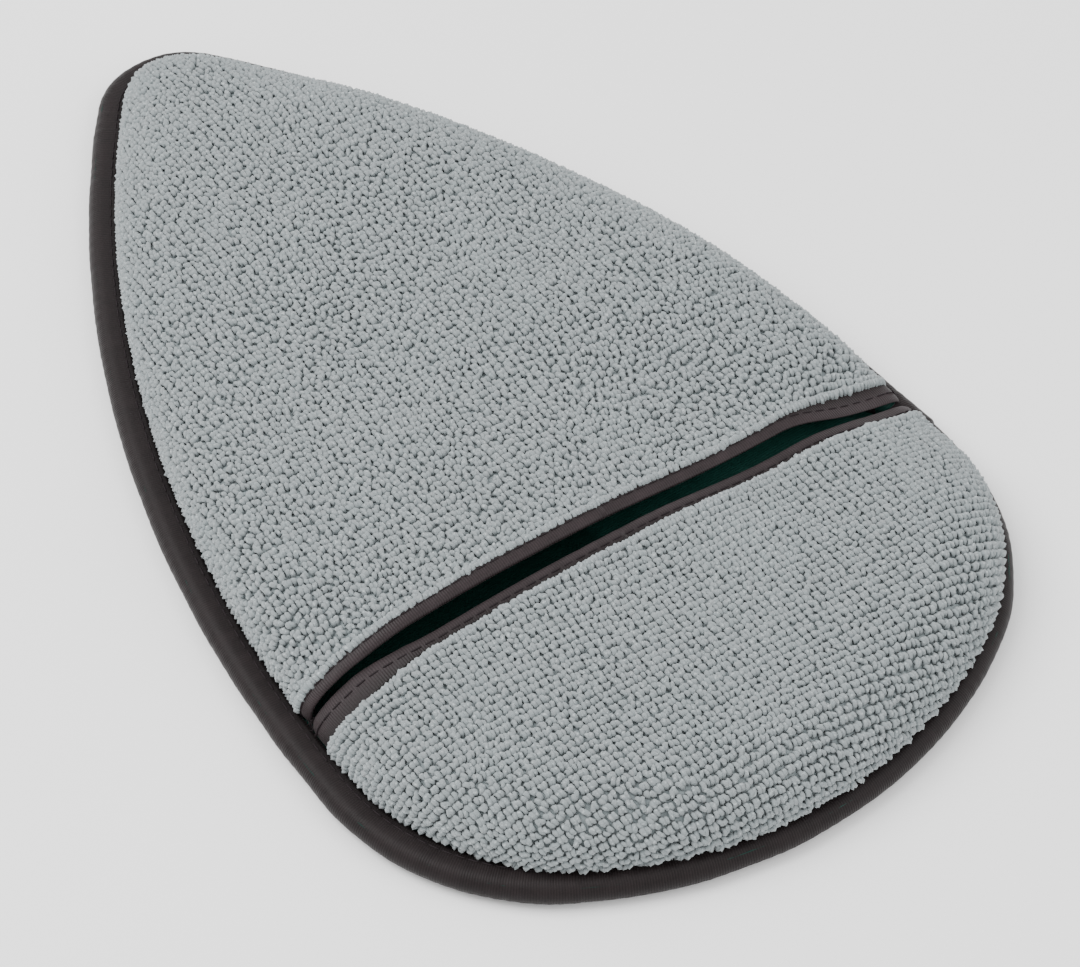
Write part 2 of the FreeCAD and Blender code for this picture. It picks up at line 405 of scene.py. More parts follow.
# %% [markdown]
# ## The cloth's finishes
# Microfibre loops look pale at their tips and dark at their roots, because light gets lost between them.
# Each loop also takes the dye a little differently. The pile material therefore reads two numbers that the
# loops carry, how near the tip a point is and the loop's own tone. Fine fibres come on top, and some of them
# glint, a highlight painted into the colour. The tape and the linings are satin: smooth and dark, with fine
# ribs that run across the tape.

# %% Pile and knitted backing
PILE_TIP = (0.212, 0.246, 0.254, 1)
PILE_TIP_WARM = (0.241, 0.250, 0.256, 1)
PILE_GLINT = (0.370, 0.405, 0.412, 1)
PILE_ROOT = (0.215, 0.250, 0.258, 1)
BACKING_LIGHT = (0.30, 0.34, 0.35, 1)
BACKING_DARK = (0.22, 0.255, 0.262, 1)


def pile_finish():
    finish = Finish("pile loops")
    fibres = (finish.noise(0.5 * MM, detail=4) * 3.0 - 1.0).held()
    brushed = finish.noise(16 * MM, detail=2)
    depth = (finish.attribute("tip_share") * 1.2 + fibres * 0.3 - 0.05).held()
    tone = (finish.attribute("tone") * 0.5 + brushed * 0.5).held()
    tip = finish.mix(tone, PILE_TIP, PILE_TIP_WARM)
    # Painted highlight: a lighter colour where fine noise peaks, standing in for fibre ends that catch the
    # light.
    glint = (finish.noise(0.6 * MM, detail=1) * 7 - 4.1).held()
    shaded = finish.mix((tone * 0.4 + fibres * 0.9 - 0.35).held(), tip, PILE_ROOT)
    bright = finish.mix(glint, shaded, PILE_GLINT)
    finish.set(Base_Color=finish.mix(depth, PILE_ROOT, bright), Roughness=0.92)
    finish.set(Sheen_Weight=0.25, Sheen_Roughness=0.6, Specular_IOR_Level=0.15)
    finish.bump(finish.noise(0.22 * MM, detail=3), 0.16 * MM, 0.8)
    return finish.material


def backing_finish():
    finish = Finish("knitted backing")
    knit = finish.noise(0.6 * MM, detail=2)
    finish.set(Base_Color=finish.mix(knit, BACKING_DARK, BACKING_LIGHT), Roughness=0.95)
    finish.set(Specular_IOR_Level=0.1)
    finish.bump(knit, 0.2 * MM, 0.9)
    return finish.material


PILE = pile_finish()
BACKING = backing_finish()
print("made", PILE.name, "and", BACKING.name)

# %% Satin, thread and foam
RIB_PITCH = 0.55  # millimetres along the tape
TAPE_LIGHT = (0.036, 0.026, 0.0285, 1)
TAPE_DARK = (0.009, 0.007, 0.007, 1)
# The edge tape is the same satin as the slot's tape, painted darker as shade because it lies on its side
# away from the light.
SHADED_EDGE_TAPE_LIGHT = (0.018, 0.013, 0.0135, 1)
SHADED_EDGE_TAPE_DARK = (0.004, 0.003, 0.003, 1)
LINING_LIGHT = (0.014, 0.070, 0.055, 1)
LINING_DARK = (0.005, 0.028, 0.022, 1)
THREAD_LIGHT = (0.024, 0.018, 0.020, 1)
THREAD_DARK = (0.008, 0.006, 0.007, 1)
FOAM_LIGHT = (0.78, 0.76, 0.68, 1)
FOAM_DARK = (0.52, 0.50, 0.44, 1)


def satin_finish(name, light, dark, roughness):
    """Satin with ribs across it and a darker edge of painted shade, both laid out on the flat cloth."""
    finish = Finish(name)
    flat = finish.cloth_map()
    along = finish.add("ShaderNodeSeparateXYZ", {}, {0: flat}, output="X")
    rib = (along * (2 * math.pi / RIB_PITCH)).math("SINE") * 0.5 + 0.5
    worn = finish.noise(3.5 * MM, detail=4)
    weave = finish.noise(0.3 * MM, detail=2)
    across = finish.add("ShaderNodeSeparateXYZ", {}, {0: flat}, output="Y")
    # Painted shade: darker within about 2 mm of where the cloth map's second number is 0, which on a tape is
    # its edge under the pile.
    edge_shade = (across * 0.4 + 0.1).held()
    shade = ((rib * 0.4 + weave * 0.5 + worn * 0.7 - 0.3) * edge_shade).held()
    finish.set(Base_Color=finish.mix(shade, dark, light), Roughness=(worn * 0.2 + (roughness - 0.1)).held())
    finish.set(Sheen_Weight=0.03, Sheen_Roughness=0.4, Specular_IOR_Level=0.13)
    finish.bump(rib * 0.7 + weave * 0.8, 0.09 * MM, 0.7)
    return finish.material


def thread_finish():
    finish = Finish("sewing thread")
    strand = finish.noise(0.18 * MM, detail=2)
    finish.set(Base_Color=finish.mix(strand, THREAD_DARK, THREAD_LIGHT), Roughness=0.6)
    finish.set(Specular_IOR_Level=0.1)
    finish.bump(strand, 0.05 * MM, 0.7)
    return finish.material


def foam_finish():
    finish = Finish("open foam")
    cells = finish.add("ShaderNodeTexVoronoi", {}, {"Vector": finish.place(), "Scale": 1 / (0.9 * MM)})
    finish.set(Base_Color=finish.mix(cells, FOAM_LIGHT, FOAM_DARK), Roughness=0.97)
    finish.bump(cells, 0.3 * MM, 0.8)
    return finish.material


TAPE = satin_finish("tape satin", TAPE_LIGHT, TAPE_DARK, 0.42)
# The tape round the edge gets a darker copy of the tape satin: painted shade.
SHADED_EDGE_TAPE = satin_finish("edge tape satin", SHADED_EDGE_TAPE_LIGHT, SHADED_EDGE_TAPE_DARK, 0.5)
LINING = satin_finish("lining satin", LINING_LIGHT, LINING_DARK, 0.42)
THREAD = thread_finish()
FOAM = foam_finish()
print("made", ", ".join(m.name for m in (TAPE, SHADED_EDGE_TAPE, LINING, THREAD, FOAM)))

# %% [markdown]
# ## The pad
# Under the hand lie three layers: lining, foam and the cloth that does the washing. All three are squeezed
# thin at the edge, where the tape holds them. Each is a stack of rings: they follow the outline near the
# edge, where the shape changes fast, and shrink towards the middle further in. That is better than one
# square grid, whose cells would cut across the edge.

# %% Rings that follow the outline
STATIONS = 540
EDGE_INSETS = np.array([1.2, 2.2, 3.4, 4.8, 6.2, 7.4, 8.6, 10, 11.4, 12.3, 13.4, 14.6, 16, 18]) * MM
INNER_SHARES = np.array([0.88, 0.74, 0.6, 0.46, 0.32, 0.18, 0.07])
MIDDLE = np.array([0, -20 * MM])

station = np.arange(STATIONS) * OUTLINE_LENGTH / STATIONS
edge_point, edge_outward = along_outline(station)
outer_rings = edge_point[None] - edge_outward[None] * EDGE_INSETS[:, None, None]
inner_rings = MIDDLE + (outer_rings[-1] - MIDDLE)[None] * INNER_SHARES[:, None, None]
plan_rings = np.concatenate([outer_rings, inner_rings])
ring_inset = inset_of(plan_rings[..., 0], plan_rings[..., 1])[0]


def pad_layer(top, bottom):
    """A closed layer: up through the rings of its underside to the edge, and back over its top.

    Its top and bottom are heights for each ring point, so a layer is a function of place twice over.
    """
    below = np.concatenate([plan_rings, bottom[..., None]], -1)[::-1]
    above = np.concatenate([plan_rings, top[..., None]], -1)
    poles = [(*MIDDLE, face[-1].mean()) for face in (bottom, top)]
    return disc(np.concatenate([below, above]), *poles)


def plan_map(points):
    """The cloth map of a piece that lies flat: its x and y, in millimetres."""
    return points[:, [1, 0]] / MM


print("rings", plan_rings.shape[:2])

# %% Foam, pad lining and sole backing
PILE_STAND = 1.5 * MM  # how far the loops stand out of their backing
SEAM_STAND = 1.0 * MM  # the same where the tape presses them flat
SHEET_GAP = 0.05 * MM  # between two layers, so that they share no face

sole_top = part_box("sole_pile_cloth")[1][2]
foam_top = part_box("foam_core")[1][2]
pad_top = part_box("pad_lining")[1][2]
lining_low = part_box("pad_lining")[0][2]
foam_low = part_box("foam_core")[0][2]


def out_of_tape(inset):
    """How far the pad's layers have come out of the tape: 0 under it, and 1 from 18 mm in."""
    return ease((inset - 7 * MM) / (11 * MM))


def backing_level(inset):
    """Height of the underside of the sole's backing, which its loops hold off the ground."""
    return SEAM_STAND + (PILE_STAND - SEAM_STAND) * out_of_tape(inset)


flatness = out_of_tape(ring_inset)
wrinkle = 0.12 * MM * ripple(*np.moveaxis(plan_rings, -1, 0), 22 * MM, seed=3) * flatness
foam_surface = lining_low + (foam_top - lining_low) * ease((ring_inset - 11 * MM) / (7 * MM))
sole_surface = foam_low + (sole_top - foam_low) * flatness
foam = piece("foam", pad_layer(foam_surface, sole_surface + SHEET_GAP), FOAM)
lining_surface = foam_surface + (pad_top - foam_top) + wrinkle
pad_lining_surface = pad_layer(lining_surface, foam_surface + SHEET_GAP + wrinkle)
pad_lining = piece("pad_lining_cloth", pad_lining_surface, LINING, uv=plan_map(pad_lining_surface[0]))
sole_under = backing_level(ring_inset) + SHEET_GAP
sole_backing = piece("sole_backing", pad_layer(sole_surface, sole_under), BACKING)

for part, node, material_slot in (
    (foam, "foam_core", "foam"),
    (pad_lining, "pad_lining", "lining"),
    (sole_backing, "sole_pile_cloth", "pile_cloth"),
):
    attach(part, "pad")
    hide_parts(node)

# %% [markdown]
# ## Loops of pile
# Terry is thousands of small arches of yarn, standing close enough to hide their backing. A bump in the
# material could hint at them, but the ragged edge where loops hang over the tape needs real shapes, and so
# does a close look. Each loop is two strands side by side, and a strand is an arched tube of 50 triangles.
# The loops stand in knitted ribs along the mitt, and lean the way the cloth was last brushed.

# %% An arched yarn


def arch(radius, steps, sides):
    """A closed tube round half a circle of radius 1, with both ends on the ground."""
    turn = np.linspace(0, math.pi, steps)[:, None]
    around = (np.arange(sides) * 2 * math.pi / sides)[None]
    reach = 1 + radius * np.cos(around)
    tube = np.stack([reach * np.cos(turn), radius * np.sin(around) + 0 * turn, reach * np.sin(turn)], -1)
    return disc(tube, [1, 0, -0.1], [-1, 0, -0.1])


YARN = 0.6  # the yarn's radius, as a share of the arch's
STRAND = arch(YARN, steps=5, sides=5)
TIP_SHARE = np.clip(STRAND[0][:, 2] / (1 + YARN), 0, 1)
print("triangles in a strand", sum(len(face) * (face.shape[1] - 2) for face in STRAND[1]))

# %% Where loops go
RIB_SPACING = 1.95 * MM  # from one knitted rib to the next
COURSE_PITCH = 1.64 * MM  # from loop to loop along a rib
STRANDS_APART = 0.74 * MM  # each loop is two strands of yarn, side by side
ARCH_SPAN = 0.68 * MM  # half the width of a strand's arch, to the middle of its yarn
ARCH_SPREAD = 0.88 * MM  # the same across the arch, where the fluffy yarn spreads
WARP = 1.0 * MM  # how far the ribs wander
WARP_LENGTH = 60 * MM
MOST_STRANDS = 3600  # in one piece


def loop_grid(rib_angle, uneven, seed, coarse=1.0):
    """Places for strands on the flat cloth: ribs run along its length, turned by an angle.

    Uneven says how far a strand may be off its place, across its rib and along it.
    """
    draw = np.random.default_rng(seed)
    steps = np.arange(int(1.3 * HALF_LENGTH / COURSE_PITCH)) + 1
    steps = np.concatenate([-steps, [0], steps])
    rib, course, strand = np.meshgrid(steps, steps, [-0.5, 0.5], indexing="ij")
    flat = np.stack([rib * RIB_SPACING + strand * STRANDS_APART, course * COURSE_PITCH], -1).reshape(-1, 2)
    flat = coarse * flat + np.array(uneven) * draw.normal(0, 1, flat.shape)
    cosine, sine = math.cos(rib_angle), math.sin(rib_angle)
    flat = flat @ np.array([[cosine, -sine], [sine, cosine]])
    warp = np.stack([ripple(*flat.T, WARP_LENGTH, seed + 7), ripple(*flat.T, WARP_LENGTH, seed + 8)], -1)
    flat = flat + WARP * warp
    near = (np.abs(flat[:, 0]) < 1.1 * HALF_WIDTH) & (np.abs(flat[:, 1]) < 1.1 * HALF_LENGTH)
    return flat[near]


def grow_loops(name, roots, up, seed, lowest, long=1.0, lean=0.25, coarse=1.0):
    """Pieces of pile: strands at the roots, standing up along the cloth's outward direction.

    A strand's arch runs mostly along its rib, no two are the same, and none goes below the lowest height.
    They are shared out among pieces by their place along the cloth, so that no piece is too large.
    """
    draw = np.random.default_rng(seed)
    count = len(roots)
    x, y = roots[:, 0], roots[:, 1]
    brush = 0.3 * np.stack([ripple(x, y, 40 * MM, 5), ripple(x, y, 34 * MM, 6), np.zeros(count)], -1)
    up = unit(up + brush + draw.normal(0, lean, (count, 3)))
    axes = frames(up, np.array([0, 1, 0]) + draw.normal(0, 0.26, (count, 3)))
    stand = PILE_STAND * long * draw.uniform(1.0, 1.22, count) / (1 + YARN)
    size = coarse * draw.uniform(0.85, 1.15, (2, count))
    sizes = np.stack([ARCH_SPAN * size[0], ARCH_SPREAD * size[1], stand], -1)
    tone = draw.uniform(0, 1, count)
    made = []
    for number, part in enumerate(np.array_split(np.argsort(y), math.ceil(count / MOST_STRANDS))):
        points, faces = scatter(STRAND, roots[part], axes[part], sizes[part])
        points = points + draw.normal(0, 0.05 * MM, points.shape)
        points[:, 2] = np.maximum(points[:, 2], lowest)
        values = {
            "tip_share": np.tile(TIP_SHARE, len(part)),
            "tone": np.repeat(tone[part], len(TIP_SHARE)),
        }
        made.append(piece(f"{name}_{number}", (points, faces), PILE, values=values))
    return made


# %% Pile under the mitt
SIDES = {"left": -1, "right": 1}
SOLE_PILE_INSET = 7.2 * MM
SOLE_COARSE = 1.25  # the sole's cloth has larger loops, further apart
SOLE_UNEVEN = (0.12 * MM, 0.25 * MM)
GROUND = 0.02 * MM

sole_flat = loop_grid(math.radians(3), SOLE_UNEVEN, seed=11, coarse=SOLE_COARSE)
sole_inset, sole_outward = inset_of(sole_flat[:, 0], sole_flat[:, 1])
kept = sole_inset > SOLE_PILE_INSET
sole_flat, sole_inset, sole_outward = sole_flat[kept], sole_inset[kept], sole_outward[kept]
sole_roots = np.concatenate([sole_flat, backing_level(sole_inset)[:, None]], -1)
rim = (1 - ease((sole_inset - SOLE_PILE_INSET) / (2 * MM)))[:, None]
sole_up = np.concatenate([0.7 * rim * sole_outward, -np.ones((len(sole_flat), 1))], -1)
for index, (side, sign) in enumerate(SIDES.items()):
    mine = sole_flat[:, 0] * sign > 0
    name = f"sole_pile_{side}"
    for pile in grow_loops(name, sole_roots[mine], sole_up[mine], 20 + index, GROUND, coarse=SOLE_COARSE):
        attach(pile, "pad")

# %% [markdown]
# ## Tape round the edge
# The tape is folded lengthwise over all the layers and sewn through. Its section is two flat legs joined by
# a round fold, and that section is carried round the outline. Sewn tape is never quite smooth: it puckers
# between stitches, and where its end laps over its start it is one layer thicker.

# %% Fold, puckers and lap
TAPE_THICKNESS = 0.6 * MM
TAPE_REACH = 6.5 * MM
TAPE_STATIONS = 860
LAP_AT = 0.262  # share of the way round from the heel's left end
LAP_LENGTH = 11 * MM
MOST_SINK = 0.2 * MM  # no pucker goes deeper, and no lap gets nearer the floor than the tape less this
STITCH_PITCH = 3.0 * MM
EDGE_STITCH_INSET = 5.0 * MM
fold_radius = (tape_high[2] - tape_low[2]) / 2
fold_level = (tape_high[2] + tape_low[2]) / 2


def folded_section(radius, thickness, reach, level, steps=11, leg_steps=5):
    """The outer and inner side of a folded tape, each as rows of inset and height.

    The fold is half a circle, and the legs are straight from the circle's ends in to the tape's edges.
    """
    sides = []
    for size in (radius, radius - thickness):
        turn = np.linspace(0, math.pi, steps)
        fold = np.stack([radius - size * np.sin(turn), level + size * np.cos(turn)], -1)
        leg = np.linspace(reach, radius, leg_steps, endpoint=False)
        upper = np.stack([leg, np.full(leg_steps, level + size)], -1)
        lower = np.stack([leg[::-1], np.full(leg_steps, level - size)], -1)
        sides.append(np.concatenate([upper, fold, lower]))
    return sides


def uneven_round(share, cycles, seed, waves=6):
    """An uneven field that meets itself after one lap: sines with a whole number of cycles round."""
    draw = np.random.default_rng(seed)
    total = np.zeros(np.shape(share))
    for _ in range(waves):
        turns = round(cycles * draw.uniform(0.6, 1.4))
        total = total + np.sin(2 * math.pi * turns * share + draw.uniform(0, 2 * math.pi))
    return total / math.sqrt(2 * waves)


share = np.arange(TAPE_STATIONS) / TAPE_STATIONS
tape_point, tape_outward = along_outline(share * OUTLINE_LENGTH)
section_out, section_in = folded_section(fold_radius, TAPE_THICKNESS, TAPE_REACH, fold_level)
on_leg = np.clip((section_out[:, 0] - fold_radius) / (TAPE_REACH - fold_radius), 0, 1)
section_middle = np.full_like(section_out, fold_level)
section_middle[:, 0] = np.maximum(section_out[:, 0], fold_radius)
section_away = unit(section_out - section_middle)
pucker = 0.05 * MM * uneven_round(share, 190, 31) + 0.09 * MM * uneven_round(share, 30, 32)
stitch_dimple = 0.05 * MM * np.cos(2 * math.pi * share * round(OUTLINE_LENGTH / STITCH_PITCH))
past_lap = ((share - LAP_AT) % 1) * OUTLINE_LENGTH
lap = 0.4 * MM * np.sqrt(np.maximum(1 - past_lap / LAP_LENGTH, 0))
swell = (pucker + lap)[:, None] + stitch_dimple[:, None] * on_leg * (1 - on_leg) * 2
section = section_out[None] + section_away[None] * np.maximum(swell, -MOST_SINK)[..., None]
section[..., 1] = np.maximum(section[..., 1], tape_low[2] - MOST_SINK)


def carry_round(section, point, outward):
    """A section's insets and heights, carried along the outline: the point less outward times inset."""
    plan = point[:, None, :] - outward[:, None, :] * section[..., :1]
    return np.concatenate([plan, section[..., 1:] + np.zeros((*plan.shape[:2], 1))], -1)


inner_section = np.broadcast_to(section_in[None], section.shape)
tape_surface = slab(
    carry_round(section, tape_point, tape_outward),
    carry_round(inner_section, tape_point, tape_outward),
    ring=True,
)
across_tape = np.concatenate([[0], np.cumsum(np.linalg.norm(np.diff(section_out, axis=0), axis=1))])
ribs_round = round(OUTLINE_LENGTH / MM / RIB_PITCH)
tape_uv = np.stack(np.broadcast_arrays(share[:, None] * ribs_round * RIB_PITCH, across_tape[None] / MM), -1)
edge_tape = piece(
    "edge_tape",
    tape_surface,
    SHADED_EDGE_TAPE,
    uv=np.concatenate([tape_uv.reshape(-1, 2)] * 2),
    period=ribs_round * RIB_PITCH,
)
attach(edge_tape, "pad")
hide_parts("edge_binding")

# %% Stitches
STITCH = lathe([0, 0.75, 1, 1, 0.75, 0], [-1, -0.88, -0.5, 0.5, 0.88, 1], sides=5)
STITCH_HALF = 1.15 * MM
THREAD_RADIUS = 0.18 * MM


def sew(name, places, direction, outward):
    """A row of stitches: small rods along the seam, half sunk in the cloth."""
    sizes = np.broadcast_to([THREAD_RADIUS, THREAD_RADIUS, STITCH_HALF], (len(places), 3))
    made = piece(name, scatter(STITCH, places, frames(direction, outward), sizes), THREAD)
    return made


stitch_count = round(OUTLINE_LENGTH / STITCH_PITCH)
seam_point, seam_outward = along_outline(np.arange(stitch_count) * OUTLINE_LENGTH / stitch_count)
seam_plan = seam_point - seam_outward * EDGE_STITCH_INSET
seam_direction = np.stack([-seam_outward[:, 1], seam_outward[:, 0], np.zeros(stitch_count)], -1)
for name, node, level in (
    ("edge_stitches_top", "edge_needle_thread", tape_high[2] + 0.02 * MM),
    ("edge_stitches_under", "edge_bobbin_thread", tape_low[2] - 0.02 * MM),
):
    places = np.concatenate([seam_plan, np.full((stitch_count, 1), level)], -1)
    stitches = sew(name, places, seam_direction, np.broadcast_to([0, 0, 1.0], (stitch_count, 3)))
    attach(stitches, "pad")
    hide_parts(node)

# %% [markdown]
# ## The two panels
# Each top panel is flat cloth pulled down at its edge. One function tells where a point of the flat cloth
# ends up: in the middle it stays where it was, and near the edge it goes round a shoulder, by an angle
# that is its distance past the start of the shoulder divided by the shoulder's radius. Loops, backing,
# lining and tape all use that function at their own depth, so they stay together like real layers.
#
# When a hand goes in, the middle of the slot bows open and the side seams hold. Each panel is made as a
# left and a right half, and the halves meet on the middle.

# %% From flat cloth to a sewn panel
LIP_COVER = 3.6 * MM
LAP_TAPE = 0.6  # how much more of the tape shows where a panel is drawn over the slot
PANEL_DEPTH = 4.2 * MM
LINING_DEPTH = 3.4 * MM
TIP_FLAT_RADIUS = 1.5 * MM
foot_inset = HALF_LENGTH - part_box("toe_pile_cloth")[1][1]
FLAT_INSET = TIP_RADIUS - TIP_FLAT_RADIUS
SHOULDER = FLAT_INSET - foot_inset
QUARTER = SHOULDER * math.pi / 2


BULGE_AT = -22 * MM  # the panels bulge most a little to the left of the middle
BULGE_REACH = 26 * MM
RIM_LEAST = 0.8 * MM  # how far the rim stands out over the tape everywhere
RIM_MORE = 4.0 * MM  # how much further at the heel and on the right
RIM_TIP = 1.2 * MM  # how much further at the far side of the tip
DRAWN = 2.4 * MM  # how far a panel is drawn over the slot at its lap end
LIP_SQUEEZE = 0.46  # how much of a panel's thickness is left inside the slot's tape


class Panel:
    """One top panel: how its cloth lies and bends round its shoulder."""

    def __init__(self, name, inwards, lap_end, forward, bulge, slack, fade, bare, seed):
        low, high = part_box(f"{name}_pile_cloth")
        lip_low, lip_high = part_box(f"{name}_lip_binding")
        self.name, self.inwards, self.lap_end, self.seed = name, inwards, lap_end, seed
        self.bulge, self.slack, self.fade, self.bare = bulge, slack, fade, bare
        self.foot, self.crown = low[2], high[2]
        self.edge = (lip_low[1] if inwards > 0 else lip_high[1]) - inwards * forward
        self.wall = self.crown - SHOULDER - self.foot
        self.cloth_inset = FLAT_INSET - QUARTER - self.wall
        self.end = inwards * (HALF_LENGTH - self.cloth_inset - 0.01 * MM)

    def fullness(self, x, y):
        """How full the panel is: 1 as designed, more where it bulges, less where the cloth is slack."""
        away = np.abs(y - self.edge)
        near = np.exp(-((away / self.fade) ** 2))
        bulge = self.bulge * np.exp(-(((x - BULGE_AT) / BULGE_REACH) ** 2))
        start, run, drop = self.slack
        slack = drop * ease((x - start) / run)
        corner = 0.4 * ease((np.abs(x) - 46 * MM) / (26 * MM)) * np.exp(-((away / (14 * MM)) ** 2))
        point = 0.22 * ease((y + 15 * MM) / (60 * MM)) + 0.38 * ease((y - 76 * MM) / (44 * MM))
        return 1 + near * (bulge - slack) - corner - point + 0.02 * ripple(x, y, 48 * MM, self.seed)

    def lap(self, x):
        """1 at the end where the panel is drawn over the slot and shows more of its tape, 0 elsewhere."""
        return ease((self.lap_end * x - 44 * MM) / (18 * MM))

    def bare_at(self, x):
        """How far from the slot the pile begins."""
        return self.bare * (1 + LAP_TAPE * self.lap(x))

    def overhang(self, along, outward, angle, down):
        """How far the rim bulges over the tape: little on the left, most at the heel, some at the tip."""
        side = outward @ np.array([0.6, -0.8])
        tip = ease((along - 95 * MM) / (20 * MM)) * ease((outward @ np.array([0.6, 0.8]) - 0.2) / 0.6)
        out = RIM_LEAST + RIM_MORE * ease((side + 0.35) / 1.2) + RIM_TIP * tip
        return out * np.sin(angle) ** 2 * (1 - np.minimum(down / self.wall, 1) ** 2)

    def shape(self, across, along, depth):
        """The place, at a depth in the panel, of points on the flat cloth.

        The layers are squeezed to under half their thickness where the slot's tape holds them.
        """
        from_edge = self.inwards * (along - self.edge)
        depth = depth * (LIP_SQUEEZE + (1 - LIP_SQUEEZE) * ease(from_edge / (9 * MM)))
        inset, outward = inset_of(across, along)
        past = np.maximum(FLAT_INSET - inset, 0)
        angle = np.minimum(past / SHOULDER, math.pi / 2)
        down = np.maximum(past - QUARTER, 0)
        radius = SHOULDER - depth
        new_inset = FLAT_INSET - radius * np.sin(angle) - self.overhang(along, outward, angle, down)
        new_inset = np.where(past > 0, new_inset, inset)
        plan = np.stack([across, along], -1) + outward * (inset - new_inset)[..., None]
        drawn = DRAWN * self.lap(plan[..., 0]) * (1 - ease(from_edge / (14 * MM)))
        plan[..., 1] -= self.inwards * drawn
        height = self.crown - SHOULDER + radius * np.cos(angle) - down
        height = self.foot + (height - self.foot) * self.fullness(plan[..., 0], plan[..., 1])
        return np.concatenate([plan, height[..., None]], -1)

    def wrap(self, across, along, depth):
        """The place and the outward direction there, which is square to two short steps on the cloth."""
        step = 0.3 * MM
        place = self.shape(across, along, depth)
        aside = self.shape(across + step, along, depth) - self.shape(across - step, along, depth)
        ahead = self.shape(across, along + step, depth) - self.shape(across, along - step, depth)
        return place, unit(np.cross(aside, ahead))

    def cloth_grid(self, sign, start, rows=84, columns=46):
        """Points of the flat cloth on one side: rows across it, closer together towards the far end."""
        first = self.edge + self.inwards * start
        along = first + (self.end - first) * np.sin(np.linspace(0, math.pi / 2, rows))
        width = half_width(along, self.cloth_inset)
        across = sign * width[:, None] * np.linspace(0, 1, columns)
        return np.broadcast_arrays(across, along[:, None])

    def attach(self, made, sign, node, material_slot):
        """Bakes a half's place into its mesh and hides the frame's part that it stands for."""
        seam = np.array([sign * (half_width(self.edge) - foot_inset), self.edge, self.foot])
        far = np.array([0, self.inwards * (HALF_LENGTH - foot_inset), self.foot])
        chord = unit(far - seam)
        middle = np.array([0, self.edge, self.foot]) - seam
        inwards = middle - chord * (middle @ chord)
        tuple(seam + inwards)
        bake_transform(made)
        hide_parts(node)
        return made


SLACK_TOE = (-15 * MM, 60 * MM, 0.31)
SLACK_HEEL = (5 * MM, 36 * MM, 0.30)
TOE = Panel("toe", 1, 1, 0, 0.08, SLACK_TOE, fade=40 * MM, bare=3.1 * MM, seed=41)
HEEL = Panel("heel", -1, -1, 1 * MM, 0.11, SLACK_HEEL, fade=30 * MM, bare=3.7 * MM, seed=43)
PANELS = (TOE, HEEL)
print("cloth runs past the outline in mm", [round(-1000 * panel.cloth_inset, 1) for panel in PANELS])

# %% [markdown]
# ## The bound slot
# The same tape folds over each panel's edge along the slot. Its section is described by two numbers, how
# far it is from the edge and how deep it is in the panel, so the panel's own function carries it up over
# the arch and down to both side seams.

# %% Tape and stitches along the slot
LIP_SINK = 0.4 * MM
LIP_STATIONS = 110
LIP_STITCH_INSET = 2.4 * MM
lip_radius = (PANEL_DEPTH + TAPE_THICKNESS - LIP_SINK) / 2
lip_depth = LIP_SINK + lip_radius


def lip_tape(panel, side):
    sign = SIDES[side]
    outer, inner = folded_section(lip_radius, TAPE_THICKNESS, LIP_COVER, 0.0)
    share = np.linspace(0, 1, LIP_STATIONS)[:, None]
    faces = []
    for part in (outer, inner):
        end = panel.lap(sign * share * HALF_WIDTH)
        along = panel.edge + panel.inwards * part[:, 0] * (1 + LAP_TAPE * end)
        across = sign * share * half_width(along, panel.cloth_inset)
        pucker = 0.09 * MM * ripple(across, along, 6 * MM, 50 + panel.seed)
        pucker = pucker * np.sign(part[:, 1]) * (part is outer)
        faces.append(panel.shape(across, along, lip_depth - part[:, 1] - pucker))
    across_tape = np.concatenate([[0], np.cumsum(np.linalg.norm(np.diff(outer, axis=0), axis=1))])
    length = float(half_width(panel.edge, panel.cloth_inset))
    flat = np.stack(np.broadcast_arrays(share * length / MM, across_tape / MM), -1).reshape(-1, 2)
    made = piece(f"{panel.name}_lip_tape_{side}", slab(*faces), TAPE, uv=np.concatenate([flat, flat]))
    panel.attach(made, sign, f"{panel.name}_lip_binding", "binding_tape")
    return made


def lip_stitches(panel, side):
    sign = SIDES[side]
    along = panel.edge + panel.inwards * LIP_STITCH_INSET
    count = int(half_width(along, panel.cloth_inset) / STITCH_PITCH)
    across = sign * (np.arange(count) + 0.5) * STITCH_PITCH
    along = np.full(count, along)
    made = []
    for kind, node, depth in (
        ("top", "needle", LIP_SINK - 0.05 * MM),
        ("under", "bobbin", PANEL_DEPTH + TAPE_THICKNESS + 0.05 * MM),
    ):
        place, outward = panel.wrap(across, along, depth)
        ahead = panel.shape(across + 0.5 * MM, along, depth) - place
        row = sew(f"{panel.name}_lip_stitches_{kind}_{side}", place, ahead, outward)
        made.append(panel.attach(row, sign, f"{panel.name}_lip_{node}_thread", "thread"))
    return made


for panel in PANELS:
    for side in SIDES:
        lip_tape(panel, side)
        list(lip_stitches(panel, side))
hem_width = math.pi * lip_radius + 2 * (LIP_COVER - lip_radius)
print("slot tape is a hem", round(1000 * hem_width, 1), "mm wide")

# %% Backing and lining of each half


def panel_sheet(panel, side, kind, node, outer_depth, inner_depth, material, material_slot):
    sign = SIDES[side]
    across, along = panel.cloth_grid(sign, TAPE_THICKNESS)
    faces = [panel.shape(across, along, depth) for depth in (outer_depth, inner_depth)]
    flat = np.stack([along, across], -1).reshape(-1, 2) / MM
    made = piece(f"{panel.name}_{kind}_{side}", slab(*faces), material, uv=np.concatenate([flat, flat]))
    panel.attach(made, sign, node, material_slot)
    return made


for panel in PANELS:
    for side in SIDES:
        node = f"{panel.name}_pile_cloth"
        panel_sheet(panel, side, "backing", node, PILE_STAND, LINING_DEPTH, BACKING, "pile_cloth")
        node = f"{panel.name}_panel_lining"
        panel_sheet(panel, side, "lining", node, LINING_DEPTH + SHEET_GAP, PANEL_DEPTH, LINING, "lining")

